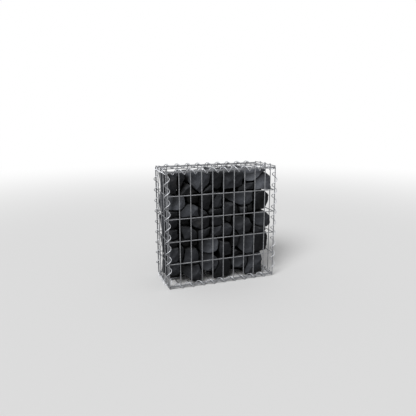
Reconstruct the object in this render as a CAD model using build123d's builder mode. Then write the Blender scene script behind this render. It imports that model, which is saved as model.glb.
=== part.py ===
from build123d import *
import math
import os
import random
from collections import namedtuple

os.makedirs("parts", exist_ok=True)

# Basket, between the centres of its edge wires, in millimetres
basket_length = 500
basket_depth = 200
basket_height = 500

# Welded mesh: close wires one narrow cell apart, on rails one long cell apart
mesh_wire = 4
narrow_cell = 50
long_cell = 100
seat_gap = 0.3

# Spiral binders, one turn to each narrow cell
spiral_wire = 3.5
spiral_radius = 11.5
spiral_steps = 8
spiral_end_gap = 0.8

# Broken stone fill. Slopes and leans are the tangents of angles.
stone_gap = 0.3
stone_reach = 1.06
parting_wobble = 0.2
slope_least = 0.14
slope_most = 0.42
crest_spread = 0.8
break_share = 0.7
break_angle = 45
break_least = 3
break_most = 13
break_wobble = 0.25
ridge_lean = 0.22
end_reach = 55
back_recess = 9
back_drops = (16, 10, 18, 4, 7, 5, 24)
back_stones_least = 5
back_stones_most = 7
chips_each = 6
chip_wobble = 0.3
chip_deep = 0.74
chip_shallow = 0.93
rank_play = 6
course_play = 5
column_play = 0.2
fill_seed = 11

# Stones that show through the front mesh, course by course from the ground up. Each has
# its recess in millimetres, how many tenths of its face slope up to the left, and its
# outline, anticlockwise, in thousandths of the front face across and up.
front_courses = [
    [
        (5, 4, (14, 86), (87, 75), (110, 84), (107, 204), (14, 194)),
        (2, 7, (114, 120), (139, 83), (210, 6), (233, -4), (304, -4), (304, 96), (293, 158),
         (154, 158), (114, 150)),
        (1, 8, (294, 238), (296, 150), (317, 101), (357, 77), (439, 90), (461, 145), (465, 200),
         (403, 252), (317, 257)),
        (6, 2, (600, -4), (598, 138), (578, 169), (526, 202), (502, 202), (473, 168), (438, 78),
         (431, 32), (429, -4)),
        (3, 6, (599, 167), (601, 107), (624, 88), (703, 70), (746, 73), (769, 158), (771, 192),
         (617, 198)),
        (4, 5, (905, -4), (905, 144), (899, 162), (877, 201), (779, 192), (738, 37), (738, -4)),
    ],
    [
        (8, 2, (9, 337), (39, 332), (101, 341), (103, 407), (9, 398)),
        (4, 5, (13, 196), (108, 205), (108, 304), (98, 337), (13, 326)),
        (22, 1, (129, 402), (141, 344), (164, 323), (183, 315), (218, 325), (220, 397)),
        (10, 2, (112, 199), (138, 199), (162, 313), (142, 340), (112, 340)),
        (3, 6, (139, 161), (294, 161), (283, 249), (274, 285), (261, 315), (202, 318), (163, 308),
         (142, 205)),
        (27, 1, (221, 377), (228, 318), (294, 314), (294, 377)),
        (0, 9, (295, 284), (308, 260), (407, 254), (441, 267), (467, 305), (473, 345), (467, 370),
         (439, 404), (295, 392)),
        (20, 1, (478, 403), (483, 360), (609, 325), (609, 396)),
        (6, 3, (473, 264), (488, 203), (607, 204), (603, 305), (589, 328), (482, 358), (473, 333)),
        (6, 4, (610, 281), (646, 287), (660, 299), (682, 392), (610, 397)),
        (8, 3, (608, 202), (751, 195), (637, 266), (608, 271)),
        (1, 8, (659, 284), (668, 263), (756, 195), (796, 196), (822, 200), (822, 341), (814, 401),
         (688, 392)),
        (9, 1, (830, 199), (930, 206), (932, 335), (926, 403), (830, 400)),
    ],
    [
        (7, 2, (9, 496), (65, 498), (99, 512), (102, 607), (9, 602)),
        (7, 3, (14, 400), (104, 409), (99, 501), (35, 493), (14, 482)),
        (26, 1, (133, 600), (137, 528), (152, 521), (207, 513), (212, 593)),
        (4, 6, (126, 523), (128, 474), (152, 402), (277, 395), (272, 443), (263, 470), (221, 505),
         (190, 514)),
        (3, 5, (211, 541), (226, 516), (280, 481), (315, 479), (370, 495), (391, 509), (390, 604),
         (213, 593)),
        (6, 4, (279, 470), (283, 393), (396, 404), (395, 496)),
        (8, 3, (400, 506), (422, 497), (449, 495), (501, 501), (515, 514), (516, 598), (400, 604)),
        (5, 5, (399, 405), (514, 405), (514, 495), (507, 500), (399, 488)),
        (16, 2, (540, 597), (546, 537), (567, 522), (609, 510), (609, 595)),
        (4, 5, (516, 404), (605, 398), (602, 483), (593, 510), (556, 524), (523, 513), (516, 489)),
        (2, 6, (610, 470), (676, 394), (781, 400), (798, 457), (795, 508), (776, 547), (710, 569),
         (638, 573), (612, 554)),
        (8, 3, (607, 398), (674, 394), (615, 457), (607, 464)),
        (3, 6, (810, 576), (812, 504), (833, 474), (916, 440), (940, 445), (995, 481), (987, 535),
         (923, 601), (895, 602)),
        (6, 4, (819, 402), (933, 405), (937, 430), (842, 468), (819, 464)),
    ],
    [
        (1, 8, (6, 688), (25, 669), (105, 668), (142, 673), (163, 694), (172, 721), (167, 758),
         (153, 794), (6, 804)),
        (7, 1, (9, 603), (103, 608), (100, 658), (9, 664)),
        (24, 1, (179, 789), (183, 738), (201, 716), (273, 706), (305, 714), (305, 803)),
        (2, 6, (118, 603), (261, 598), (293, 600), (293, 643), (284, 685), (251, 707), (200, 715),
         (175, 704), (124, 653)),
        (5, 2, (306, 681), (331, 662), (368, 642), (397, 666), (406, 806), (306, 802)),
        (5, 5, (377, 606), (363, 637), (325, 664), (294, 670), (294, 600)),
        (7, 3, (379, 606), (512, 600), (510, 643), (500, 659), (402, 658), (379, 635)),
        (8, 3, (406, 727), (417, 727), (463, 808), (407, 806)),
        (3, 5, (415, 719), (420, 664), (468, 661), (504, 671), (508, 710), (508, 799), (465, 807)),
        (0, 7, (510, 759), (519, 745), (674, 670), (707, 660), (755, 670), (789, 702), (802, 742),
         (798, 806), (510, 793)),
        (3, 4, (513, 600), (680, 593), (668, 644), (645, 676), (629, 691), (604, 703), (557, 710),
         (534, 709), (513, 685)),
        (6, 3, (666, 661), (682, 589), (749, 601), (749, 656)),
        (8, 1, (751, 601), (808, 599), (808, 679), (792, 697), (751, 661)),
        (9, 1, (818, 604), (929, 602), (971, 682), (986, 737), (897, 797), (886, 798), (818, 766)),
    ],
    [
        (4, 3, (5, 889), (20, 846), (58, 802), (98, 802), (98, 1000), (5, 993)),
        (9, 3, (100, 997), (102, 841), (127, 845), (172, 943), (172, 999)),
        (7, 4, (123, 798), (282, 803), (203, 896), (175, 892)),
        (1, 6, (192, 1000), (197, 906), (247, 847), (295, 803), (396, 887), (396, 1000)),
        (9, 4, (307, 803), (432, 809), (420, 849), (402, 879), (396, 879)),
        (6, 3, (398, 1001), (400, 885), (432, 834), (470, 830), (503, 843), (507, 932), (505, 1001)),
        (2, 5, (509, 840), (515, 830), (664, 831), (701, 858), (701, 989), (691, 1002), (570, 994),
         (526, 981), (509, 961)),
        (2, 9, (702, 1002), (708, 918), (731, 887), (780, 886), (919, 970), (911, 1002)),
        (1, 8, (816, 804), (975, 793), (970, 893), (957, 931), (918, 960), (900, 957), (847, 925),
         (816, 898)),
        (5, 7, (814, 809), (814, 878), (714, 865), (661, 825), (661, 801)),
    ],
]

# Sizes that follow from the ones above. The upper spirals bear on the close wires of the
# lid, the lower long ones on those of the front and back, the lower short ones on those
# of the floor, and the basket rests on the lower ones.
panel_step = mesh_wire + seat_gap
chord_radius = spiral_radius * math.cos(math.pi / spiral_steps)
spiral_half = spiral_wire * math.sqrt(0.5)
spiral_bore = chord_radius - spiral_half
spiral_foot = chord_radius + spiral_half
spiral_reach = spiral_radius + 0.75 * spiral_wire
seat_step = mesh_wire + mesh_wire / 2 + seat_gap - spiral_bore
rest_height = spiral_foot + seat_step + panel_step
corner_stop = spiral_reach + spiral_end_gap
spiral_clear = spiral_reach + 2 * seat_gap
end_panel_half = basket_depth / 2 - panel_step
lid_centre = rest_height + basket_height + panel_step
floor_centre = rest_height - panel_step
mid_height = rest_height + basket_height / 2
spiral_top = lid_centre + seat_step
spiral_bottom = floor_centre - seat_step
spiral_side = (basket_length + mesh_wire / 2) / 2
spiral_face = basket_depth / 2 + seat_step
wire_seat = mesh_wire / 2 + seat_gap
fill_high = Vector(
    basket_length / 2 - wire_seat,
    basket_depth / 2 - wire_seat,
    lid_centre - wire_seat,
)
fill_low = Vector(-fill_high.X, -fill_high.Y, floor_centre + wire_seat)

# A stone's box, the ways in which it shows and, in the front rank, its outline and the
# point of its face where the slopes meet
Block = namedtuple("Block", "low high outward outline crest")
dice = random.Random(fill_seed)


# Places of the wires that part a span into whole cells, its two edge wires included
def wire_places(span, cell):
    count = max(1, round(span / cell))
    return [span * (step / count - 0.5) for step in range(count + 1)]


# A welded panel. The face's x runs across, its y along the close wires and its z out
# of the basket. The rails lie in the face and the close wires outside them.
def mesh_panel(face, close_places, rail_places):
    close_end = max(rail_places) + mesh_wire / 2
    rail_end = max(close_places) + mesh_wire / 2
    close_start = face.from_local_coords((0, -close_end, mesh_wire))
    rail_start = face.from_local_coords((-rail_end, 0, 0))
    with BuildPart() as panel:
        with BuildSketch(Plane(close_start, x_dir=face.x_dir, z_dir=face.y_dir)):
            with Locations(*[(place, 0) for place in close_places]):
                Rectangle(mesh_wire, mesh_wire)
        extrude(amount=2 * close_end)
        with BuildSketch(Plane(rail_start, x_dir=face.y_dir, z_dir=face.x_dir)):
            with Locations(*[(place, 0) for place in rail_places]):
                Rectangle(mesh_wire, mesh_wire)
        extrude(amount=2 * rail_end)
    return panel.part


# A right-handed coil along one edge. The turns stand furthest out, the way that away
# points, at every wire of the panel that they bind.
def spiral_binder(middle, along, away, edge, pitch):
    steps = 2 * math.floor((edge / 2 - corner_stop) / pitch * spiral_steps - 0.5) + 1
    coil = Plane(middle, x_dir=away, z_dir=along)
    points = []
    for step in range(steps + 1):
        place = (step - steps / 2) * pitch / spiral_steps
        turn = 2 * math.pi * (place + edge / 2) / pitch
        local = (spiral_radius * math.cos(turn), spiral_radius * math.sin(turn), place)
        points.append(coil.from_local_coords(local))
    with BuildPart() as binder:
        with BuildLine() as path:
            Polyline(*points)
        with BuildSketch(Plane(path.line @ 0, z_dir=path.line % 0)):
            Rectangle(spiral_wire, spiral_wire)
        sweep(transition=Transition.RIGHT)
    return binder.part


def centre_of(block):
    return (block.low + block.high) * 0.5


def half_of(block):
    return (block.high - block.low) * 0.5


# Half the thickness of a block in a given direction
def half_across(block, way):
    half = half_of(block)
    return half.X * abs(way.X) + half.Y * abs(way.Y) + half.Z * abs(way.Z)


def wobble(amount):
    return Vector(*[dice.uniform(-amount, amount) for _ in range(3)])


# The cut between two neighbouring stones, square to the line that joins them as their
# sizes stretch it, with the gap shared between the two
def part_stones(block, other):
    reach = half_of(block) + half_of(other)
    line = centre_of(other) - centre_of(block)
    lean = Vector(line.X / reach.X**2, line.Y / reach.Y**2, line.Z / reach.Z**2)
    way = (lean.normalized() + wobble(parting_wobble)).normalized()
    own = half_across(block, way)
    share = own / (own + half_across(other, way))
    meeting = centre_of(block) + line * share
    near = Plane(meeting - way * (stone_gap / 2), z_dir=way)
    far = Plane(meeting + way * (stone_gap / 2), z_dir=way * -1)
    return near, far


# Cuts that knock off most of the corners of a block
def corner_chips(block):
    half = half_of(block)
    corners = [(side, face, end) for side in (-1, 1) for face in (-1, 1) for end in (-1, 1)]
    chips = []
    for side, face, end in dice.sample(corners, chips_each):
        corner = Vector(side / half.X, face / half.Y, end / half.Z)
        way = (corner.normalized() + wobble(chip_wobble)).normalized()
        depth = half_across(block, way) * dice.uniform(chip_deep, chip_shallow)
        chips.append(Plane(centre_of(block) + way * depth, z_dir=way))
    return chips


# Two broken faces that meet in a ridge on each side of a block that shows
def ridge_cuts(block):
    cuts = []
    for outward in block.outward:
        lean = wobble(ridge_lean)
        for side in (-1, 1):
            way = (outward + lean * side).normalized()
            crest = centre_of(block) + outward * half_across(block, outward)
            cuts.append(Plane(crest, z_dir=way))
    return cuts


# The face of a front stone: one slope up to the left, one down to the right
def face_slopes(block):
    cuts = []
    for side in (-1, 1):
        across = side * dice.uniform(slope_least, slope_most)
        up = -side * dice.uniform(slope_least, slope_most)
        cuts.append(Plane(block.crest, z_dir=Vector(across, -1, up)))
    return cuts


# Broken edges round the face of a front stone
def edge_breaks(block):
    breaks = []
    for start, end in zip(block.outline, block.outline[1:] + block.outline[:1]):
        if dice.random() < break_share:
            depth = block.low.Y + dice.uniform(break_least, break_most)
            middle = Vector((start[0] + end[0]) / 2, depth, (start[1] + end[1]) / 2)
            side = Vector(end[1] - start[1], 0, start[0] - end[0]).normalized()
            ahead = Vector(0, -math.tan(math.radians(break_angle)), 0)
            breaks.append(Plane(middle, z_dir=side + ahead + wobble(break_wobble)))
    return breaks


def touching(block, other):
    reach = (half_of(block) + half_of(other)) * stone_reach
    line = centre_of(other) - centre_of(block)
    return abs(line.X) < reach.X and abs(line.Y) < reach.Y and abs(line.Z) < reach.Z


# A block grown a little to meet its neighbours and kept inside the basket
def grown_block(block):
    grown = half_of(block) * stone_reach
    low = centre_of(block) - grown
    high = centre_of(block) + grown
    low = Vector(max(low.X, fill_low.X), max(low.Y, fill_low.Y), max(low.Z, fill_low.Z))
    high = Vector(min(high.X, fill_high.X), min(high.Y, fill_high.Y), min(high.Z, fill_high.Z))
    return block._replace(low=low, high=high)


def cut_stone(block, cuts):
    with BuildPart() as stone:
        if block.outline:
            with BuildSketch(Plane((0, block.low.Y, 0), x_dir=(1, 0, 0), z_dir=(0, -1, 0))):
                with BuildLine():
                    Polyline(*block.outline, close=True)
                make_face()
            extrude(amount=block.low.Y - block.high.Y)
        else:
            with Locations(centre_of(block)):
                Box(*(half_of(block) * 2))
        for cut in cuts:
            if any(cut.to_local_coords(corner.center()).Z > 0 for corner in stone.vertices()):
                split(bisect_by=cut, keep=Keep.BOTTOM)
    return stone.part


def side_of(value):
    return (value > 0) - (value < 0)


# A cut that keeps the fill clear of the spiral round a given middle
def spiral_cut(middle):
    way = Vector(side_of(middle.X), side_of(middle.Y), side_of(middle.Z - mid_height))
    return Plane(middle - way.normalized() * spiral_clear, z_dir=way)


# The sides on which a block shows at the ends or, under a given height, the top of the fill
def end_sides(low, high, crown):
    sides = []
    if low.X - fill_low.X < end_reach:
        sides.append(Vector(-1, 0, 0))
    if fill_high.X - high.X < end_reach:
        sides.append(Vector(1, 0, 0))
    if high.Z > crown:
        sides.append(Vector(0, 0, 1))
    return sides


# The stones behind the front mesh, as they lie in the list above
def front_blocks(course):
    blocks = []
    for recess, sloping, *places in front_courses[course]:
        outline = [
            ((across / 1000 - 0.5) * basket_length, rest_height + up / 1000 * basket_height)
            for across, up in places
        ]
        across = [place[0] for place in outline]
        up = [place[1] for place in outline]
        low = Vector(min(across), fill_low.Y + recess, min(up))
        high = Vector(max(across), dice.uniform(-rank_play, rank_play), max(up))
        shift = (sloping / 10 - 0.5) * crest_spread
        crest = Vector(
            sum(across) / len(across) + shift * (high.X - low.X),
            low.Y,
            sum(up) / len(up) - shift * (high.Z - low.Z),
        )
        sides = end_sides(low, high, fill_high.Z - wire_seat)
        blocks.append(Block(low, high, sides, outline, crest))
    return blocks


# The stones behind those, in even columns that are put out of line by hand
def back_blocks(course):
    across = dice.randint(back_stones_least, back_stones_most)
    column = (fill_high.X - fill_low.X) / across
    storey = (fill_high.Z - fill_low.Z) / len(front_courses)
    shift = dice.uniform(-column_play, column_play) * column
    blocks = []
    for place in range(across):
        left = fill_low.X + place * column + (shift if place else 0)
        right = fill_low.X + (place + 1) * column
        if place < across - 1:
            right += shift
        bottom = fill_low.Z + course * storey
        top = bottom + storey
        if course:
            bottom += dice.uniform(-course_play, course_play)
        if course < len(front_courses) - 1:
            top += dice.uniform(-course_play, course_play)
        else:
            top -= back_drops[place]
        low = Vector(left, dice.uniform(-rank_play, rank_play), bottom)
        high = Vector(right, fill_high.Y - dice.uniform(0, back_recess), top)
        sides = [Vector(0, 1, 0)] + end_sides(low, high, fill_high.Z - max(back_drops) - wire_seat)
        blocks.append(Block(low, high, sides, None, None))
    return blocks


# The six panels: the front and back stand outside the end panels, the lid and the
# floor lie over and under all four
across_places = wire_places(basket_length, narrow_cell)
deep_places = wire_places(basket_depth, narrow_cell)
end_places = [max(-end_panel_half, min(end_panel_half, place)) for place in deep_places]
up_places = wire_places(basket_height, long_cell)
lid_rails = wire_places(basket_depth, long_cell)

faces = {
    "front_panel": Plane((0, -basket_depth / 2, mid_height), x_dir=(1, 0, 0), z_dir=(0, -1, 0)),
    "back_panel": Plane((0, basket_depth / 2, mid_height), x_dir=(-1, 0, 0), z_dir=(0, 1, 0)),
    "left_end_panel": Plane((-basket_length / 2, 0, mid_height), x_dir=(0, -1, 0), z_dir=(-1, 0, 0)),
    "right_end_panel": Plane((basket_length / 2, 0, mid_height), x_dir=(0, 1, 0), z_dir=(1, 0, 0)),
    "lid_panel": Plane((0, 0, lid_centre), x_dir=(1, 0, 0), z_dir=(0, 0, 1)),
    "floor_panel": Plane((0, 0, floor_centre), x_dir=(1, 0, 0), z_dir=(0, 0, -1)),
}
for name, face in faces.items():
    if name in ("lid_panel", "floor_panel"):
        panel = mesh_panel(face, across_places, lid_rails)
    elif name in ("front_panel", "back_panel"):
        panel = mesh_panel(face, across_places, up_places)
    else:
        panel = mesh_panel(face, end_places, up_places)
    panel.label = name
    export_step(panel, f"parts/{name}.step")

# The twelve spirals, each round the middle of the two edge wires that it binds
long_pitch = basket_length / (len(across_places) - 1)
deep_pitch = basket_depth / (len(deep_places) - 1)
turns_to_rail = round(long_cell / narrow_cell)
rise_pitch = basket_height / ((len(up_places) - 1) * turns_to_rail)
binders = {}
for turn, where in ((-1, "front"), (1, "back")):
    top = Vector(0, turn * basket_depth / 2, spiral_top)
    bottom = Vector(0, turn * spiral_face, spiral_bottom)
    along = Vector(1, 0, 0)
    binders[f"spiral_top_{where}"] = (top, along, Vector(0, 0, 1), basket_length, long_pitch)
    binders[f"spiral_bottom_{where}"] = (bottom, along, Vector(0, turn, 0), basket_length, long_pitch)
for turn, where in ((-1, "left"), (1, "right")):
    for level, height, up in (("top", spiral_top, 1), ("bottom", spiral_bottom, -1)):
        middle = Vector(turn * basket_length / 2, 0, height)
        place = (middle, Vector(0, 1, 0), Vector(0, 0, up), basket_depth, deep_pitch)
        binders[f"spiral_{level}_{where}"] = place
for face, where in ((-1, "front"), (1, "back")):
    for turn, end in ((-1, "left"), (1, "right")):
        middle = Vector(turn * spiral_side, face * spiral_face, mid_height)
        place = (middle, Vector(0, 0, 1), Vector(turn, 0, 0), basket_height, rise_pitch)
        binders[f"spiral_{where}_{end}"] = place
for name, place in binders.items():
    binder = spiral_binder(*place)
    binder.label = name
    export_step(binder, f"parts/{name}.step")

# The fill: a front stone has its outline, its slopes and its broken edges, a back one its
# chips. The stones of the two ranks, and those of the back rank, are parted by a cut each.
ranks = {}
for course in range(len(front_courses)):
    ranks[f"front_stones_{course + 1}"] = front_blocks(course)
    ranks[f"back_stones_{course + 1}"] = back_blocks(course)
blocks = [block for rank in ranks.values() for block in rank]
cuts = [[spiral_cut(place[0]) for place in binders.values()] + ridge_cuts(block) for block in blocks]
for index, block in enumerate(blocks):
    if block.outline:
        cuts[index] += face_slopes(block) + edge_breaks(block)
    else:
        cuts[index] += corner_chips(block)
    for other in range(index + 1, len(blocks)):
        outlined = block.outline and blocks[other].outline
        if not outlined and touching(block, blocks[other]):
            near, far = part_stones(block, blocks[other])
            cuts[index].append(near)
            cuts[other].append(far)
first = 0
for name, rank in ranks.items():
    with BuildPart() as stones:
        for index in range(first, first + len(rank)):
            block = blocks[index] if blocks[index].outline else grown_block(blocks[index])
            add(cut_stone(block, cuts[index]))
    stones.part.label = name
    export_step(stones.part, f"parts/{name}.step")
    first += len(rank)
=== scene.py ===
import math
import random

import bmesh
import bpy
from mathutils import Matrix, Vector


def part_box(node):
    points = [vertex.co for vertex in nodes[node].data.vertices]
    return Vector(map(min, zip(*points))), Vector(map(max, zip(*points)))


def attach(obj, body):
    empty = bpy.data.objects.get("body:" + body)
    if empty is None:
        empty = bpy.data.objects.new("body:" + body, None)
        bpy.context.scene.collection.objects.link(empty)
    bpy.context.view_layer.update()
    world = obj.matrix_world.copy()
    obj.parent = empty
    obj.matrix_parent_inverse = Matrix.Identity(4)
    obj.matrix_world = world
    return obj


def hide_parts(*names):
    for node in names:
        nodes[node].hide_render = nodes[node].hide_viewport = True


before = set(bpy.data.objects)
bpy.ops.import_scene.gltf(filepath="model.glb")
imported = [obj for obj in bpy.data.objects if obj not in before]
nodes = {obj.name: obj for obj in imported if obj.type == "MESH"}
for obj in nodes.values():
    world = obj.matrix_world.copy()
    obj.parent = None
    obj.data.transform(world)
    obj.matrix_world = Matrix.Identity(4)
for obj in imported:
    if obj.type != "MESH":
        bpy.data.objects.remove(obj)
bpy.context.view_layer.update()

# A gabion: six welded mesh panels, laced along the basket's edges by spiral binders and
# filled with dark broken stone. Lengths are in metres, so a millimetre is mm.
mm = 0.001
stoneNodes = sorted(name for name in nodes if "_stones_" in name)
print("frame loaded:", len(nodes), "nodes")


# One output of a node. Arithmetic on it adds Math nodes.
class Port:
    def __init__(self, bench, socket):
        self.bench = bench
        self.socket = socket

    def beside(self, output):
        return Port(self.bench, self.socket.node.outputs[output])

    def calc(self, operation, *others):
        return self.bench.maths(operation, self, *others)

    def least(self, other):
        return self.calc("MINIMUM", other)

    def most(self, other):
        return self.calc("MAXIMUM", other)

    def __add__(self, other):
        return self.calc("ADD", other)

    def __radd__(self, other):
        return self.bench.maths("ADD", other, self)

    def __sub__(self, other):
        return self.calc("SUBTRACT", other)

    def __rsub__(self, other):
        return self.bench.maths("SUBTRACT", other, self)

    def __mul__(self, other):
        return self.calc("MULTIPLY", other)

    def __rmul__(self, other):
        return self.bench.maths("MULTIPLY", other, self)

    def __truediv__(self, other):
        return self.calc("DIVIDE", other)

    def __rtruediv__(self, other):
        return self.bench.maths("DIVIDE", other, self)


# A node tree under construction, for shaders and for geometry
class Bench:
    def __init__(self, tree):
        self.tree = tree

    def add(self, kind, settings=None, inputs=None, output=0):
        node = self.tree.nodes.new(kind)
        for name, value in (settings or {}).items():
            if name == "stops":
                self.setStops(node.color_ramp, value)
            else:
                setattr(node, name, value)
        for name, value in (inputs or {}).items():
            self.feed(node.inputs[name], value)
        return Port(self, node.outputs[output]) if len(node.outputs) else node

    def feed(self, socket, value):
        if isinstance(value, (list, tuple)) and value and isinstance(value[0], Port):
            for port in value:
                self.tree.links.new(port.socket, socket)
        elif isinstance(value, Port):
            self.tree.links.new(value.socket, socket)
        else:
            socket.default_value = value

    def setStops(self, ramp, stops):
        while len(ramp.elements) < len(stops):
            ramp.elements.new(0.5)
        for element, (place, colour) in zip(ramp.elements, stops):
            element.position = place
            element.color = colour

    def maths(self, operation, *values):
        return self.add("ShaderNodeMath", {"operation": operation}, dict(enumerate(values)))

    def vectorMath(self, operation, *values, output=0):
        wanted = dict(enumerate(values))
        return self.add("ShaderNodeVectorMath", {"operation": operation}, wanted, output)

    def scaled(self, vector, amount):
        wanted = {0: vector, "Scale": amount}
        return self.add("ShaderNodeVectorMath", {"operation": "SCALE"}, wanted)

    def joinXyz(self, x, y, z):
        return self.add("ShaderNodeCombineXYZ", None, {"X": x, "Y": y, "Z": z})

    def splitXyz(self, vector):
        split = self.add("ShaderNodeSeparateXYZ", None, {"Vector": vector})
        return [split.beside(name) for name in ("X", "Y", "Z")]

    # The salt moves a piece through its noise, so that no two pieces share a pattern
    def salted(self, place, salt, shares):
        return self.vectorMath("ADD", place, self.joinXyz(*(salt * share for share in shares)))

    def noise(self, vector, scale, detail, roughness):
        wanted = {"Vector": vector, "Scale": scale, "Detail": detail, "Roughness": roughness}
        return self.add("ShaderNodeTexNoise", None, wanted, "Fac")

    def remap(self, value, low, high, newLow=0.0, newHigh=1.0):
        wanted = {"Value": value, 1: low, 2: high, 3: newLow, 4: newHigh}
        return self.add("ShaderNodeMapRange", {"interpolation_type": "SMOOTHSTEP"}, wanted)

    # A Mix node has its colours in sockets 6 and 7, and gives one at output 2
    def mixColour(self, factor, first, second, blend="MIX"):
        settings = {"data_type": "RGBA", "blend_type": blend}
        return self.add("ShaderNodeMix", settings, {0: factor, 6: first, 7: second}, 2)


# A grey of the given level that leans to blue, and a third as much to green
def grey(level, blue=0.0):
    return (level, level * (1 + 0.3 * blue), level * (1 + blue), 1.0)


def newMaterial(name):
    material = bpy.data.materials.new(name)
    material.use_nodes = True
    material.node_tree.nodes.clear()
    return material, Bench(material.node_tree)


def finishMaterial(bench, surface, height, look):
    wanted = {"Height": height, "Distance": look["bumpDepth"], "Strength": look["bumpStrength"]}
    surface["Normal"] = bench.add("ShaderNodeBump", None, wanted)
    shader = bench.add("ShaderNodeBsdfPrincipled", None, surface)
    bench.add("ShaderNodeOutputMaterial", None, {"Surface": shader})


# Galvanised wire: a dull zinc skin with a faint spangle and chalky patches. Each noise
# has its scale, detail and roughness, and each range the two values it fades between.
zincLook = {
    "brightZinc": grey(0.36, 0.07),
    "dullZinc": grey(0.21, 0.08),
    "chalk": grey(0.40, 0.03),
    "spangleScale": 260.0,
    "patchNoise": (38.0, 5.0, 0.6),
    "fineNoise": (1040.0, 3.0, 0.6),
    "spangleShade": 0.35,
    "patchShade": 0.9,
    "shadeRange": (0.35, 0.85),
    "chalkRange": (0.62, 0.74),
    "chalkAmount": 0.6,
    "metal": 0.5,
    "chalkMetal": 0.4,
    "smoothest": 0.30,
    "roughest": 0.60,
    "spangleRough": 0.4,
    "patchRough": 0.6,
    "chalkRough": 0.12,
    "patchBump": 0.6,
    "fineBump": 0.4,
    "bumpDepth": 0.08 * mm,
    "bumpStrength": 0.6,
}


def galvanisedWire(name, highlightLift):
    look = zincLook
    material, bench = newMaterial(name)
    place = bench.add("ShaderNodeTexCoord", output="Object")
    wanted = {"Vector": place, "Scale": look["spangleScale"]}
    spangle = bench.add("ShaderNodeTexVoronoi", None, wanted, "Color")
    cell = bench.add("ShaderNodeSeparateColor", None, {"Color": spangle})
    patch = bench.noise(place, *look["patchNoise"])
    fine = bench.noise(place, *look["fineNoise"])
    mottle = cell * look["spangleShade"] + patch * look["patchShade"]
    shade = bench.remap(mottle, *look["shadeRange"])
    colour = bench.mixColour(shade, look["dullZinc"], look["brightZinc"])
    chalky = bench.remap(patch, *look["chalkRange"])
    colour = bench.mixColour(chalky * look["chalkAmount"], colour, look["chalk"])
    # The lift brightens the whole zinc colour; above 1 it is a painted highlight
    colour = bench.mixColour(1.0, colour, grey(highlightLift), "MULTIPLY")
    spread = look["roughest"] - look["smoothest"]
    rough = cell * (spread * look["spangleRough"]) + patch * (spread * look["patchRough"])
    surface = {
        "Base Color": colour,
        "Metallic": look["metal"] - chalky * look["chalkMetal"],
        "Roughness": rough + chalky * look["chalkRough"] + look["smoothest"],
    }
    finishMaterial(bench, surface, patch * look["patchBump"] + fine * look["fineBump"], look)
    return material


# Dark broken stone. The tone attribute gives each stone its own shade, with painted shade on front
# stones that lie further in. The faces that look up carry a little pale dust and painted light, and
# painted shade darkens the stone with its depth in the fill.
stoneLook = {
    "shades": [
        (0.0, grey(0.004, 0.28)), (0.45, grey(0.0155, 0.28)),
        (0.8, grey(0.048, 0.24)), (1.0, grey(0.112, 0.20)),
    ],
    "cloudNoise": (11.0, 6.0, 0.6),
    "grainNoise": (95.0, 8.0, 0.65),
    "speckNoise": (620.0, 4.0, 0.7),
    "stainNoise": (6.6, 5.0, 0.7),
    "toneShade": 0.75,
    "cloudShade": 0.9,
    "grainShade": 0.5,
    "leastShade": 0.12,
    "stain": (0.045, 0.038, 0.031, 1.0),
    "stainRange": (0.60, 0.72),
    "stainAmount": 0.35,
    # pale grains for the flecks, and pale dust with painted light on the faces that look up
    "dustAndTopLight": grey(0.10, 0.10),
    "fleckRange": (0.60, 0.72),
    "fleckAmount": 0.25,
    "topDustAndLightRange": (0.25, 0.95),
    "topDustAndLightBreak": 0.7,
    "topDustAndLightAmount": 0.40,
    "fillHalf": (247.7 * mm, 97.7 * mm),  # half the fill's width and half its depth
    "fillTop": 517.5 * mm,
    "depthShadeRange": (9 * mm, 38 * mm),  # how far in the painted shade starts and ends
    "depthShadeDark": 0.9,
    "grainRange": (0.3, 0.7),
    "roughRange": (0.72, 0.95),
    "gloss": 0.25,
    "cloudBump": 0.35,
    "grainBump": 0.45,
    "speckBump": 0.2,
    "bumpDepth": 1.4 * mm,
    "bumpStrength": 0.9,
}


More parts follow.
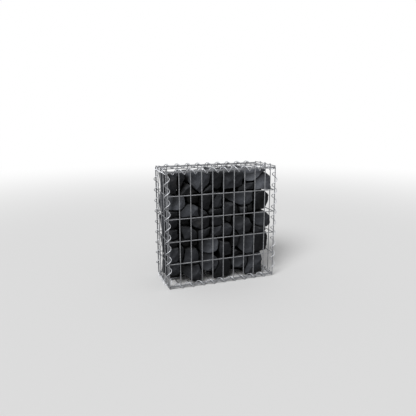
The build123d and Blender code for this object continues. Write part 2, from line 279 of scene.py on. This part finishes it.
def brokenStone():
    look = stoneLook
    material, bench = newMaterial("darkBrokenStone")
    place = bench.add("ShaderNodeTexCoord", output="Object")
    tone = bench.add("ShaderNodeAttribute", {"attribute_name": "tone"}, None, "Fac")
    cloud = bench.noise(place, *look["cloudNoise"])
    grain = bench.noise(place, *look["grainNoise"])
    speck = bench.noise(place, *look["speckNoise"])
    shade = tone * look["toneShade"] + (cloud - 0.5) * look["cloudShade"]
    shade = shade + (grain - 0.5) * look["grainShade"] + look["leastShade"]
    colour = bench.add("ShaderNodeValToRGB", {"stops": look["shades"]}, {"Fac": shade}, "Color")
    stain = bench.remap(bench.noise(place, *look["stainNoise"]), *look["stainRange"])
    colour = bench.mixColour(stain * look["stainAmount"], colour, look["stain"])
    flecks = bench.remap(speck, *look["fleckRange"])
    colour = bench.mixColour(flecks * look["fleckAmount"], colour, look["dustAndTopLight"])
    # Faces that look up turn paler: pale dust, and painted light on their tops
    normal = bench.add("ShaderNodeNewGeometry", output="Normal")
    upward = bench.splitXyz(normal)[2]
    topDustAndLight = bench.remap(upward + (grain - 0.5) * look["topDustAndLightBreak"], *look["topDustAndLightRange"])
    colour = bench.mixColour(topDustAndLight * look["topDustAndLightAmount"], colour, look["dustAndTopLight"])
    # Painted shade: the colour darkens the deeper the surface lies in the fill, from its sides,
    # front, back and top
    across, along, up = bench.splitXyz(place)
    sideDepth = look["fillHalf"][0] - across.calc("ABSOLUTE")
    faceDepth = look["fillHalf"][1] - along.calc("ABSOLUTE")
    depth = faceDepth.least(sideDepth).least(look["fillTop"] - up)
    depthShade = bench.remap(depth, *look["depthShadeRange"], 1.0, 1 - look["depthShadeDark"])
    colour = bench.mixColour(1.0, colour, bench.joinXyz(depthShade, depthShade, depthShade), "MULTIPLY")
    surface = {
        "Base Color": colour,
        "Roughness": bench.remap(grain, *look["grainRange"], *look["roughRange"]),
        "Specular IOR Level": look["gloss"],
    }
    height = cloud * look["cloudBump"] + grain * look["grainBump"] + speck * look["speckBump"]
    finishMaterial(bench, surface, height, look)
    return material


meshZinc = galvanisedWire("galvanisedMeshWire", 1.0)
spiralZinc = galvanisedWire("galvanisedSpiralWire", 2.0)  # the coils' zinc is lifted brighter, a painted highlight
stoneSkin = brokenStone()
print("materials made")


# A geometry node tree with named inputs for its sizes
class Recipe(Bench):
    def __init__(self, name, sizes):
        super().__init__(bpy.data.node_groups.new(name, "GeometryNodeTree"))
        sockets = self.tree.interface
        for way in ("INPUT", "OUTPUT"):
            sockets.new_socket("Geometry", in_out=way, socket_type="NodeSocketGeometry")
        kinds = {int: "NodeSocketInt", float: "NodeSocketFloat"}
        self.identifiers = {}
        for label, value in sizes.items():
            made = sockets.new_socket(label, in_out="INPUT", socket_type=kinds[type(value)])
            made.default_value = value
            self.identifiers[label] = made.identifier
        self.entry = self.tree.nodes.new("NodeGroupInput")

    def size(self, label):
        return Port(self, self.entry.outputs[label])

    def finish(self, shape, material):
        whole = self.add("GeometryNodeRealizeInstances", None, {"Geometry": shape})
        wanted = {"Geometry": whole, "Material": material}
        dressed = self.add("GeometryNodeSetMaterial", None, wanted)
        leave = self.tree.nodes.new("NodeGroupOutput")
        self.feed(leave.inputs[0], dressed)


def newObject(name, data):
    made = bpy.data.objects.new(name, data)
    bpy.context.scene.collection.objects.link(made)
    return made


# Runs a recipe with its sizes and gives the result as a plain mesh object, moved into place
def makeFrom(recipe, name, values, matrix):
    host = newObject(name + "Host", bpy.data.meshes.new(name + "Host"))
    modifier = host.modifiers.new("recipe", "NODES")
    modifier.node_group = recipe.tree
    for label, value in values.items():
        modifier[recipe.identifiers[label]] = value
    bpy.context.view_layer.update()
    graph = bpy.context.evaluated_depsgraph_get()
    mesh = bpy.data.meshes.new_from_object(host.evaluated_get(graph))
    bpy.data.objects.remove(host)
    mesh.transform(matrix)
    mesh.name = name
    for face in mesh.polygons:
        face.use_smooth = True
    return newObject(name, mesh)


# A round drawn wire along a line of points, a hair out of true, with cut ends
def drawnWire(recipe, line, radius, look, salt):
    place = recipe.add("GeometryNodeInputPosition")
    moved = recipe.salted(place, salt, look["saltShares"])
    wanted = {"Vector": moved, "Scale": look["strayScale"], "Detail": look["strayDetail"]}
    stray = recipe.add("ShaderNodeTexNoise", None, wanted, "Color")
    centred = recipe.vectorMath("SUBTRACT", stray, (0.5, 0.5, 0.5))
    offset = recipe.scaled(centred, look["strayAmount"])
    bent = recipe.add("GeometryNodeSetPosition", None, {"Geometry": line, "Offset": offset})
    wanted = {"Resolution": look["wireSides"], "Radius": radius}
    circle = recipe.add("GeometryNodeCurvePrimitiveCircle", None, wanted)
    wanted = {"Curve": bent, "Profile Curve": circle, "Fill Caps": True}
    return recipe.add("GeometryNodeCurveToMesh", None, wanted)


# Cells are measured from the middle of one wire to the middle of the next
weldedMesh = {
    "narrowCell": 50 * mm,
    "longCell": 100 * mm,
    "wireSides": 10,
    "pointEvery": 12 * mm,  # along a wire, so that it can stray
    "strayAmount": 0.9 * mm,
    "strayScale": 7.0,
    "strayDetail": 1.0,
    "beadSize": 1.12,  # of the wire's own radius
    "beadSegments": 8,
    "beadRings": 5,
    "saltShares": (1, 2, 3),
    "saltStep": 1.7,
    "railSalt": 5.0,
}


# Parallel wires along Y, spread along X over the span, none of them past the limit
def wireRow(recipe, count, span, limit, length, radius, level, turn, salt):
    look = weldedMesh
    start = recipe.joinXyz(span * -0.5, 0.0, 0.0)
    step = recipe.joinXyz(span / (count - 1), 0.0, 0.0)
    wanted = {"Count": count, "Start Location": start, "Offset": step}
    row = recipe.add("GeometryNodeMeshLine", {"mode": "OFFSET"}, wanted)
    across = recipe.splitXyz(recipe.add("GeometryNodeInputPosition"))[0]
    held = across.least(limit).most(limit * -1)
    wanted = {"Geometry": row, "Position": recipe.joinXyz(held, 0.0, level)}
    row = recipe.add("GeometryNodeSetPosition", None, wanted)
    half = length * 0.5
    ends = {"Start": recipe.joinXyz(0.0, half * -1, 0.0), "End": recipe.joinXyz(0.0, half, 0.0)}
    line = recipe.add("GeometryNodeCurvePrimitiveLine", None, ends)
    wanted = {"Curve": line, "Length": look["pointEvery"]}
    line = recipe.add("GeometryNodeResampleCurve", {"mode": "LENGTH"}, wanted)
    lines = recipe.add("GeometryNodeInstanceOnPoints", None, {"Points": row, "Instance": line})
    lines = recipe.add("GeometryNodeRealizeInstances", None, {"Geometry": lines})
    wires = drawnWire(recipe, lines, radius, look, salt)
    wanted = {"Geometry": wires, "Rotation": (0.0, 0.0, turn)}
    return recipe.add("GeometryNodeTransform", None, wanted)


# The closely spaced wires lie over the rails, which are one wire further in, and a small
# bead of weld joins them at each crossing
def weldedMeshRecipe():
    look = weldedMesh
    sizes = {
        "Close Wires": 11, "Rails": 6, "Close Span": 0.5, "Rail Span": 0.5, "Close Limit": 0.25,
        "Wire": 0.004, "Salt": 0.0,
    }
    recipe = Recipe("weldedMesh", sizes)
    wire = recipe.size("Wire")
    radius = wire * 0.5
    closeCount, railCount = recipe.size("Close Wires"), recipe.size("Rails")
    closeSpan, railSpan = recipe.size("Close Span"), recipe.size("Rail Span")
    limit, salt = recipe.size("Close Limit"), recipe.size("Salt")
    length, turn = railSpan + wire, 0.0
    close = wireRow(recipe, closeCount, closeSpan, limit, length, radius, wire, turn, salt)
    length, turn, salt = limit * 2 + wire, math.pi / 2, salt + look["railSalt"]
    rails = wireRow(recipe, railCount, railSpan, railSpan, length, radius, 0.0, turn, salt)
    wanted = {
        "Size X": closeSpan, "Vertices X": closeCount, "Size Y": railSpan, "Vertices Y": railCount,
    }
    crossings = recipe.add("GeometryNodeMeshGrid", None, wanted)
    across, along, _ = recipe.splitXyz(recipe.add("GeometryNodeInputPosition"))
    moved = recipe.joinXyz(across.least(limit).most(limit * -1), along, radius)
    wanted = {"Geometry": crossings, "Position": moved}
    crossings = recipe.add("GeometryNodeSetPosition", None, wanted)
    size = radius * look["beadSize"]
    wanted = {"Segments": look["beadSegments"], "Rings": look["beadRings"], "Radius": size}
    bead = recipe.add("GeometryNodeMeshUVSphere", None, wanted)
    wanted = {"Points": crossings, "Instance": bead}
    beads = recipe.add("GeometryNodeInstanceOnPoints", None, wanted)
    whole = recipe.add("GeometryNodeJoinGeometry", None, {"Geometry": [close, rails, beads]})
    recipe.finish(whole, meshZinc)
    return recipe


# Each panel lies in a face of the basket: how its x and y run, and the way that it looks
panelFaces = {
    "front_panel": ((1, 0, 0), (0, 0, 1), (0, -1, 0)),
    "back_panel": ((-1, 0, 0), (0, 0, 1), (0, 1, 0)),
    "left_end_panel": ((0, -1, 0), (0, 0, 1), (-1, 0, 0)),
    "right_end_panel": ((0, 1, 0), (0, 0, 1), (1, 0, 0)),
    "lid_panel": ((1, 0, 0), (0, 1, 0), (0, 0, 1)),
    "floor_panel": ((1, 0, 0), (0, -1, 0), (0, 0, -1)),
}


def faceMatrix(xWay, yWay, outWay, middle):
    turned = Matrix((xWay, yWay, outWay)).transposed().to_4x4()
    return Matrix.Translation(middle) @ turned


def meshPanels():
    look = weldedMesh
    recipe = weldedMeshRecipe()
    for index, (node, ways) in enumerate(panelFaces.items()):
        low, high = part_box(node)
        size = high - low
        xWay, yWay, outWay = (Vector(way) for way in ways)
        wide = abs(size.dot(xWay))
        tall = abs(size.dot(yWay))
        wire = abs(size.dot(outWay)) / 2
        closeSpan = round((wide - wire) / look["narrowCell"]) * look["narrowCell"]
        railSpan = tall - wire
        values = {
            "Close Wires": round(closeSpan / look["narrowCell"]) + 1,
            "Rails": round(railSpan / look["longCell"]) + 1,
            "Close Span": closeSpan,
            "Rail Span": railSpan,
            "Close Limit": (wide - wire) / 2,
            "Wire": wire,
            "Salt": look["saltStep"] * index,
        }
        matrix = faceMatrix(xWay, yWay, outWay, (low + high) / 2 - outWay * (wire / 2))
        piece = makeFrom(recipe, node.replace("_panel", "_welded_mesh"), values, matrix)
        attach(piece, "root")
        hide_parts(node)
        print(piece.name, len(piece.data.polygons), "faces")


spiralBinder = {
    "wire": 3.5 * mm,
    "pitch": 50 * mm,
    "pointsEachTurn": 28,
    "windTight": 0.97,  # of the radius that the solid binder winds on
    "wireSides": 10,
    "strayAmount": 0.8 * mm,
    "strayScale": 9.0,
    "strayDetail": 1.0,
    "saltShares": (1, 2, 3),
    "firstSalt": 3.1,
    "saltStep": 2.3,
}


# A right-handed coil along Z, furthest out along X at every cross wire that it binds
def spiralRecipe():
    look = spiralBinder
    sizes = {
        "Length": 0.47, "Edge": 0.5, "Radius": 0.011, "Pitch": 0.05, "Points": 270, "Salt": 0.0,
    }
    recipe = Recipe("spiralBinder", sizes)
    length, edge = recipe.size("Length"), recipe.size("Edge")
    low, high = length * -0.5, length * 0.5
    ends = {"Start": recipe.joinXyz(0.0, 0.0, low), "End": recipe.joinXyz(0.0, 0.0, high)}
    line = recipe.add("GeometryNodeCurvePrimitiveLine", None, ends)
    wanted = {"Curve": line, "Count": recipe.size("Points")}
    line = recipe.add("GeometryNodeResampleCurve", {"mode": "COUNT"}, wanted)
    height = recipe.splitXyz(recipe.add("GeometryNodeInputPosition"))[2]
    turn = (height + edge * 0.5) / recipe.size("Pitch") * (2 * math.pi)
    radius = recipe.size("Radius")
    x, y = radius * turn.calc("COSINE"), radius * turn.calc("SINE")
    wanted = {"Geometry": line, "Position": recipe.joinXyz(x, y, height)}
    coil = recipe.add("GeometryNodeSetPosition", None, wanted)
    wire = drawnWire(recipe, coil, look["wire"] / 2, look, recipe.size("Salt"))
    recipe.finish(wire, spiralZinc)
    return recipe


# A coil in the box of each binder. Its turns are counted from the end of its basket edge,
# a whole number of cells long, and "away" is where they stand furthest out.
def spiralBinders():
    look = spiralBinder
    recipe = spiralRecipe()
    centre = (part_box("front_panel")[1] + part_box("front_panel")[0]) / 2
    names = sorted(name for name in nodes if name.startswith("spiral_"))
    for index, node in enumerate(names):
        low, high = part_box(node)
        size = high - low
        middle = (low + high) / 2
        along = max(range(3), key=lambda axis: size[axis])
        outer = [size[axis] for axis in range(3) if axis != along]
        axisWay = Vector([float(axis == along) for axis in range(3)])
        away = Vector((0, 0, math.copysign(1, middle.z - centre.z)))
        if along == 2:
            away = Vector((math.copysign(1, middle.x), 0, 0))
        elif along == 0 and middle.z < centre.z:
            away = Vector((0, math.copysign(1, middle.y), 0))
        sideWay = axisWay.cross(away)
        turns = size[along] / look["pitch"]
        values = {
            "Length": size[along] - look["wire"],
            "Edge": round(size[along] / look["pitch"] + 0.5) * look["pitch"],
            "Radius": (sum(outer) / 2 - look["wire"]) / 2 * look["windTight"],
            "Pitch": look["pitch"],
            "Points": round(turns * look["pointsEachTurn"]),
            "Salt": look["firstSalt"] + look["saltStep"] * index,
        }
        piece = makeFrom(recipe, node + "_coil", values, faceMatrix(away, sideWay, axisWay, middle))
        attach(piece, "root")
        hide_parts(node)
    print("spiral binders made:", len(names))


meshPanels()
spiralBinders()


# Places are the middles of the front stones' faces, across and up, in millimetres
brokenFill = {
    "mergeReach": 0.01 * mm,
    "flatAngle": 0.01,  # in radians
    "voxel": 3.0 * mm,
    "edgeRound": {"front": 5.5 * mm, "back": 2.5 * mm},
    "roundSteps": 3,
    "flatUnder": {"front": 0.0, "back": 0.9},
    "facetScale": 30.0,
    "facetSlope": 0.04,
    "scoopReach": 20 * mm,
    "scoopDepth": 3.8 * mm,
    "lumpNoise": (28.0, 3.0, 0.5),
    "lumpDepth": 2.6 * mm,
    "pitNoise": (120.0, 4.0, 0.6),
    "pitDepth": 0.9 * mm,
    "seed": 4,
    "saltShares": (1, 0.7, 1.3),
    "saltMost": 40,
    "toneLow": 0.10,
    "toneHigh": 0.80,
    "toneStray": 0.1,
    "fullShadeRecess": 10 * mm,  # a front stone that lies this far in has the lowest tone, as painted shade
    "paleAt": {
        (-103, 466): 0.95, (155, 487): 1.2, (197, 453): 1.08, (-205, 383): 1.1, (-58, 180): 0.9,
    },
    "plainAt": {
        (-182, 475): 0.5, (52, 473): 0.45, (-19, 382): 0.45, (-21, 241): 0.6, (102, 257): 0.45,
        (-145, 54): 0.5, (-219, 148): 0.65, (78, 382): 0.75, (-222, 291): 0.45, (-220, 240): 0.5,
        (-81, 237): 0.5, (201, 365): 0.3,
    },
    "darkAt": {
        (-23, 473): 0.15, (-72, 377): 0.2, (48, 341): 0.3, (-149, 245): 0.25, (-99, 286): 0.25,
        (7, 65): 0.25,
    },
    "splitAt": {  # a point on the ridge, then how many degrees the split leans right and up
        (-103, 466): (-107, 466, 22, -10),
        (197, 453): (194, 453, 14, -4),
        (-205, 383): (-212, 383, 20, -4),
        (-182, 475): (-190, 475, 15, 6),
    },
    "placeReach": 12 * mm,  # how near to a place the stone's middle has to lie
    "endPull": {
        "front_stones_1": 13 * mm, "front_stones_2": 24 * mm, "front_stones_3": 8 * mm,
        "front_stones_4": 24 * mm, "front_stones_5": 12 * mm,
    },
    "endStones": 200 * mm,  # only stones that reach further right are drawn out
    "endLimit": 247 * mm,
    "coilLimit": 327 * mm,  # a slanting limit beside the corner coil, further in to the front
}


# Broken surface: scoops that meet in ridges, slight steps, lumps and pits, all cut inwards
def fractureRecipe():
    look = brokenFill
    recipe = Recipe("fracture", {"Salt": 0.0, "Under": 0.0})
    entry = Port(recipe, recipe.entry.outputs["Geometry"])
    place = recipe.add("GeometryNodeInputPosition")
    moved = recipe.salted(place, recipe.size("Salt"), look["saltShares"])
    wanted = {"Vector": moved, "Scale": look["facetScale"]}
    cell = recipe.add("ShaderNodeTexVoronoi", None, wanted, "Position")
    reach = recipe.vectorMath("SUBTRACT", moved, cell)
    lean = recipe.vectorMath("SUBTRACT", cell.beside("Color"), (0.5, 0.5, 0.5))
    facet = recipe.vectorMath("DOT_PRODUCT", reach, lean, output="Value") * look["facetSlope"]
    away = recipe.vectorMath("LENGTH", reach, output="Value") / look["scoopReach"]
    rise = (away * away).least(1.0)
    scoop = (1.0 - rise) * look["scoopDepth"]
    lump = recipe.noise(moved, *look["lumpNoise"]) * look["lumpDepth"]
    pit = recipe.noise(moved, *look["pitNoise"]) * look["pitDepth"]
    depth = facet - scoop - lump - pit
    normal = recipe.add("GeometryNodeInputNormal")
    upward = recipe.splitXyz(normal)[2]
    under = (0.0 - upward).most(0.0) * recipe.size("Under")  # flatter undersides
    offset = recipe.scaled(normal, depth.least(0.0) * (1.0 - under))
    cut = recipe.add("GeometryNodeSetPosition", None, {"Geometry": entry, "Offset": offset})
    recipe.finish(cut, stoneSkin)
    return recipe


# The middle of a stone's corners, rounded so that stones are always sorted alike
def meanPlace(part):
    total = sum((vert.co for vert in part), Vector())
    return tuple(round(value, 5) for value in total / len(part))


# The stones of a node, each as a mesh of its own, in a fixed order
def looseParts(mesh):
    whole = bmesh.new()
    whole.from_mesh(mesh)
    bmesh.ops.remove_doubles(whole, verts=whole.verts, dist=brokenFill["mergeReach"])
    left = set(whole.verts)
    parts = []
    while left:
        first = left.pop()
        group, reached = {first}, [first]
        while reached:
            for edge in reached.pop().link_edges:
                for vert in edge.verts:
                    if vert in left:
                        left.discard(vert)
                        group.add(vert)
                        reached.append(vert)
        parts.append(sorted(group, key=lambda vert: vert.index))
    parts.sort(key=meanPlace)
    shapes = []
    for part in parts:
        single = bmesh.new()
        fresh = {vert: single.verts.new(vert.co) for vert in part}
        faces = {face for vert in part for face in vert.link_faces}
        for face in sorted(faces, key=lambda item: item.index):
            single.faces.new([fresh[vert] for vert in face.verts])
        shapes.append(single)
    whole.free()
    return shapes


# Rounds a stone's edges, breaks its surface and gives it its tone, which holds painted shade
# on front stones that lie further in
def roughStone(shape, recipe, salt, tone, name):
    look = brokenFill
    rank = name.split("_")[0]
    within = {"verts": shape.verts, "edges": shape.edges}
    bmesh.ops.dissolve_limit(shape, angle_limit=look["flatAngle"], **within)
    mesh = bpy.data.meshes.new(name)
    shape.to_mesh(mesh)
    shape.free()
    stone = newObject(name, mesh)
    bevel = stone.modifiers.new("bevel", "BEVEL")
    bevel.width = look["edgeRound"][rank]
    bevel.segments = look["roundSteps"]
    bevel.limit_method = "NONE"
    remesh = stone.modifiers.new("remesh", "REMESH")
    remesh.mode = "VOXEL"
    remesh.voxel_size = look["voxel"]
    fracture = stone.modifiers.new("fracture", "NODES")
    fracture.node_group = recipe.tree
    fracture[recipe.identifiers["Salt"]] = salt
    fracture[recipe.identifiers["Under"]] = look["flatUnder"][rank]
    graph = bpy.context.evaluated_depsgraph_get()
    rough = bpy.data.meshes.new_from_object(stone.evaluated_get(graph))
    bpy.data.objects.remove(stone)
    attribute = rough.attributes.new("tone", "FLOAT", "POINT")
    attribute.data.foreach_set("value", [tone] * len(rough.vertices))
    return rough


# A front stone's own value in a table of places, or the usual one
def valueByPlace(shape, table, usual):
    spans = [[vert.co[axis] for vert in shape.verts] for axis in (0, 2)]
    middle = [(min(span) + max(span)) / 2 for span in spans]
    for place, wanted in table.items():
        if math.dist(middle, [value * mm for value in place]) < brokenFill["placeReach"]:
            return wanted
    return usual


# Breaks a front stone's face in two along a ridge
def splitFace(shape, split):
    x, z, *lean = split
    right, up = (math.radians(angle) for angle in lean)
    outward = Vector((math.sin(right), -math.cos(right), math.sin(up)))
    ridge = Vector((x * mm, min(vert.co.y for vert in shape.verts), z * mm))
    everything = shape.verts[:] + shape.edges[:] + shape.faces[:]
    cut = {"geom": everything, "plane_co": ridge, "plane_no": outward, "clear_outer": True}
    made = bmesh.ops.bisect_plane(shape, **cut)
    rim = [item for item in made["geom_cut"] if isinstance(item, bmesh.types.BMEdge)]
    bmesh.ops.holes_fill(shape, edges=rim)


# Draws the right end of a front course out to where the fill ends, clear of the corner coil
def pullEnd(shape, pull):
    look = brokenFill
    across = [vert.co.x for vert in shape.verts]
    low, high = min(across), max(across)
    if high < look["endStones"]:
        return
    for vert in shape.verts:
        wanted = vert.co.x + pull * (vert.co.x - low) / (high - low)
        limit = min(look["endLimit"], look["coilLimit"] + vert.co.y)
        vert.co.x = max(vert.co.x, min(wanted, limit))


def stoneFill():
    look = brokenFill
    recipe = fractureRecipe()
    dice = random.Random(look["seed"])
    frontFace = min(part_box(name)[0].y for name in stoneNodes)
    for node in stoneNodes:
        gathered = bmesh.new()
        for shape in looseParts(nodes[node].data):
            tone = dice.uniform(look["toneLow"], look["toneHigh"])
            if node.startswith("front"):
                # Front stones that lie further in get a darker tone, as painted shade
                recess = min(vert.co.y for vert in shape.verts) - frontFace
                share = max(0.0, 1 - recess / look["fullShadeRecess"])
                tone = look["toneLow"] + share * (look["toneHigh"] - look["toneLow"])
                tone += dice.uniform(-look["toneStray"], look["toneStray"])
                for table in (look["paleAt"], look["plainAt"], look["darkAt"]):
                    tone = valueByPlace(shape, table, tone)
                split = valueByPlace(shape, look["splitAt"], None)
                if split:
                    splitFace(shape, split)
                pullEnd(shape, look["endPull"].get(node, 0.0))
            salt = dice.uniform(0, look["saltMost"])
            rough = roughStone(shape, recipe, salt, tone, node + "_rough")
            gathered.from_mesh(rough)
            bpy.data.meshes.remove(rough)
        mesh = bpy.data.meshes.new(node + "_broken")
        gathered.to_mesh(mesh)
        gathered.free()
        mesh.materials.append(stoneSkin)
        piece = newObject(node.replace("_stones_", "_broken_stone_"), mesh)
        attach(piece, "root")
        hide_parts(node)
        print(piece.name, len(mesh.polygons), "faces")


stoneFill()


# The camera stands to the left of the wall, a little above its top, and looks down to the right
camera = {
    "place": (-0.66307, -1.76581, 0.74825),
    "yaw": 19.571,
    "down": 12.549,
    "roll": -0.197,
    "lens": 36.14,
    "sensor": 36.0,
    "clip": (0.05, 100.0),
}


def standCamera():
    yaw, down, roll = (math.radians(camera[name]) for name in ("yaw", "down", "roll"))
    ahead = math.cos(down)
    forward = Vector((math.sin(yaw) * ahead, math.cos(yaw) * ahead, -math.sin(down)))
    level = Vector((math.cos(yaw), -math.sin(yaw), 0.0))
    upright = level.cross(forward)
    right = level * math.cos(roll) + upright * math.sin(roll)
    up = upright * math.cos(roll) - level * math.sin(roll)
    lens = bpy.data.cameras.new("camera")
    lens.lens = camera["lens"]
    lens.sensor_width = camera["sensor"]
    lens.clip_start, lens.clip_end = camera["clip"]
    holder = newObject("camera", lens)
    turned = Matrix((right, up, -forward)).transposed().to_4x4()
    holder.matrix_world = Matrix.Translation(camera["place"]) @ turned
    bpy.context.scene.camera = holder


# A sun-like lamp keeps the light even over the whole floor; its wide angle makes it soft
studio = {
    "floorSize": 60.0,
    "floorColour": (0.80, 0.80, 0.80, 1.0),
    "floorBounce": (0.40, 0.40, 0.40, 1.0),  # its colour for the light that it throws back
    "fadeStart": 1.2,
    "fadeEnd": 5.0,
    "skyLight": 0.36,
    "white": (1.0, 1.0, 1.0, 1.0),
    "lampFrom": (-0.60, -0.62, 0.80),
    "lampAway": 3.0,
    "lampStrength": 2.5,
    "lampAngle": 28.0,
}


# 1 where the backdrop shows as it is: to the camera, in gloss and through glass
def backdropSeen(bench):
    seen = bench.add("ShaderNodeLightPath", output="Is Camera Ray")
    return seen.most(seen.beside("Is Glossy Ray")).most(seen.beside("Is Transmission Ray"))


def studioLight():
    scene = bpy.context.scene
    world = bpy.data.worlds.new("studio")
    world.use_nodes = True
    world.node_tree.nodes.clear()
    bench = Bench(world.node_tree)
    wanted = {"Color": studio["white"], "Strength": studio["skyLight"]}
    dull = bench.add("ShaderNodeBackground", None, wanted)
    wanted = {"Color": studio["white"], "Strength": 1.0}
    white = bench.add("ShaderNodeBackground", None, wanted)
    both = bench.add("ShaderNodeMixShader", None, {0: backdropSeen(bench), 1: dull, 2: white})
    bench.add("ShaderNodeOutputWorld", None, {"Surface": both})
    scene.world = world
    lamp = bpy.data.lights.new("softLamp", "SUN")
    lamp.energy = studio["lampStrength"]
    lamp.angle = math.radians(studio["lampAngle"])
    holder = newObject("softLamp", lamp)
    way = Vector(studio["lampFrom"])
    holder.location = way * studio["lampAway"]
    holder.rotation_euler = way.to_track_quat("Z", "Y").to_euler()
    scene.view_settings.view_transform = "Standard"


# The floor keeps the wall's shadow and fades to the white backdrop further out
def paleFloor():
    half = studio["floorSize"] / 2
    mesh = bpy.data.meshes.new("paleFloor")
    corners = [(-half, -half, 0), (half, -half, 0), (half, half, 0), (-half, half, 0)]
    mesh.from_pydata(corners, [], [(0, 1, 2, 3)])
    floor = newObject("paleFloor", mesh)
    material, bench = newMaterial("paleFloor")
    place = bench.add("ShaderNodeTexCoord", output="Object")
    distance = bench.vectorMath("LENGTH", place, output="Value")
    fade = bench.remap(distance, studio["fadeStart"], studio["fadeEnd"])
    seen = bench.add("ShaderNodeLightPath", output="Is Camera Ray")
    pale = bench.add("ShaderNodeBsdfDiffuse", None, {"Color": studio["floorColour"]})
    dull = bench.add("ShaderNodeBsdfDiffuse", None, {"Color": studio["floorBounce"]})
    matt = bench.add("ShaderNodeMixShader", None, {0: seen, 1: dull, 2: pale})
    white = bench.add("ShaderNodeEmission", None, {"Color": studio["white"], "Strength": 1.0})
    far = backdropSeen(bench) * fade
    both = bench.add("ShaderNodeMixShader", None, {0: far, 1: matt, 2: white})
    bench.add("ShaderNodeOutputMaterial", None, {"Surface": both})
    mesh.materials.append(material)


standCamera()
studioLight()
paleFloor()
print("camera, light and floor set up")
